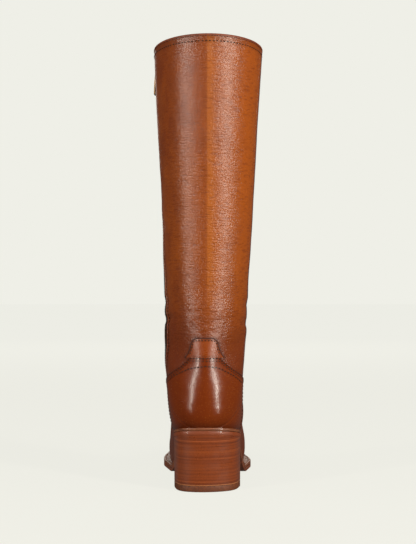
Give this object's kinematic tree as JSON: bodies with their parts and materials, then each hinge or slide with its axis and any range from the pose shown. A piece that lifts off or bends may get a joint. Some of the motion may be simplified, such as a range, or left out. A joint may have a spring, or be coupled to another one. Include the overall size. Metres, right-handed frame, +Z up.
{
  "type": "knee-high boot",
  "caption": "Right knee-high boot in smooth tan leather: tall shaft with an inside zip, outside heel counter with a back tab, leather sole and a stacked block heel.",
  "frame": {"origin": "on the floor, in the middle of the heel's ground face", "axes": "+Z up, +Y from the heel towards the toe, +X towards the outer (lateral) side of the right foot"},
  "size_m": [0.1138, 0.27, 0.456],
  "materials": {
    "upper_leather": "smooth tan leather, softly polished and creased at the ankle",
    "counter_leather": "the same leather pulled tight and glossier",
    "zip_tape": "dark brown woven tape with fine teeth",
    "zip_metal": "dulled antique brass",
    "insole_leather": "plain undyed lining leather",
    "welt_leather": "light waxed edge",
    "outsole_leather": "dark stained sole leather",
    "stacked_leather": "thin stacked lifts, stained and waxed",
    "top_lift_rubber": "dark brown hard rubber, matte"
  },
  "bodies": {
    "boot": {"upper": "upper_leather", "heel_counter": "counter_leather", "back_tab": "upper_leather", "zip_strip": "zip_tape", "zip_slider": "zip_metal", "insole": "insole_leather", "midsole": "welt_leather", "outsole": "outsole_leather", "heel_block": "stacked_leather", "top_lift": "top_lift_rubber"},
    "pull": {"zip_pull": "zip_metal"}
  },
  "joints": [
    {"name": "pull_swing", "type": "hinge", "parent": "boot", "child": "pull", "pos_m": [-0.05376, 0.04943, 0.432], "axis": [0.4118, 0.8957, -0.1681], "range_deg": [0, 160]}
  ]
}
